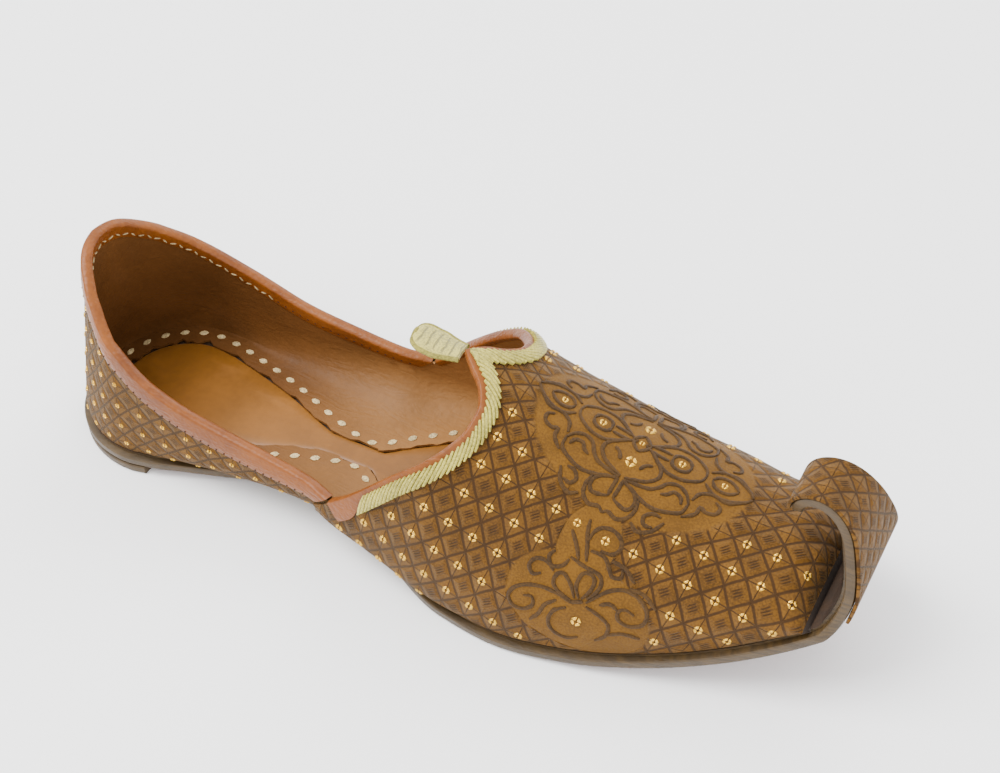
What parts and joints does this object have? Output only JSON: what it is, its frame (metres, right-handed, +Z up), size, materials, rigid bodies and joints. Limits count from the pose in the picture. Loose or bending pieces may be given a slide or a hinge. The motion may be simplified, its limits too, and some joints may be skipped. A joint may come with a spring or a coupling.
{
  "type": "mojari shoe",
  "caption": "Flat slip-on leather mojari with a low open throat, a straight-lasted sole with a narrow waist, and a toe strip that curls up and back.",
  "frame": {"origin": "on the floor under the middle of the box round the shoe", "axes": "+X from heel to toe, +Z up, +Y to the wearer's left; the shoe is the same on both sides"},
  "size_m": [0.2836, 0.0944, 0.0762],
  "materials": {
    "sole_leather": "smooth waxed maroon leather",
    "insole_leather": "burnished tan leather",
    "brocade": "tan-brown embroidered cloth on leather",
    "binding_leather": "orange-brown binding leather",
    "woven_thread": "pale gold-green woven thread"
  },
  "bodies": {
    "root": {"outsole": "sole_leather", "heel_lift": "sole_leather", "insole": "insole_leather", "upper": "brocade", "toe_curl_facing": "brocade", "collar_binding": "binding_leather", "throat_binding": "binding_leather", "throat_braid": "woven_thread", "throat_tab": "woven_thread"}
  },
  "joints": []
}
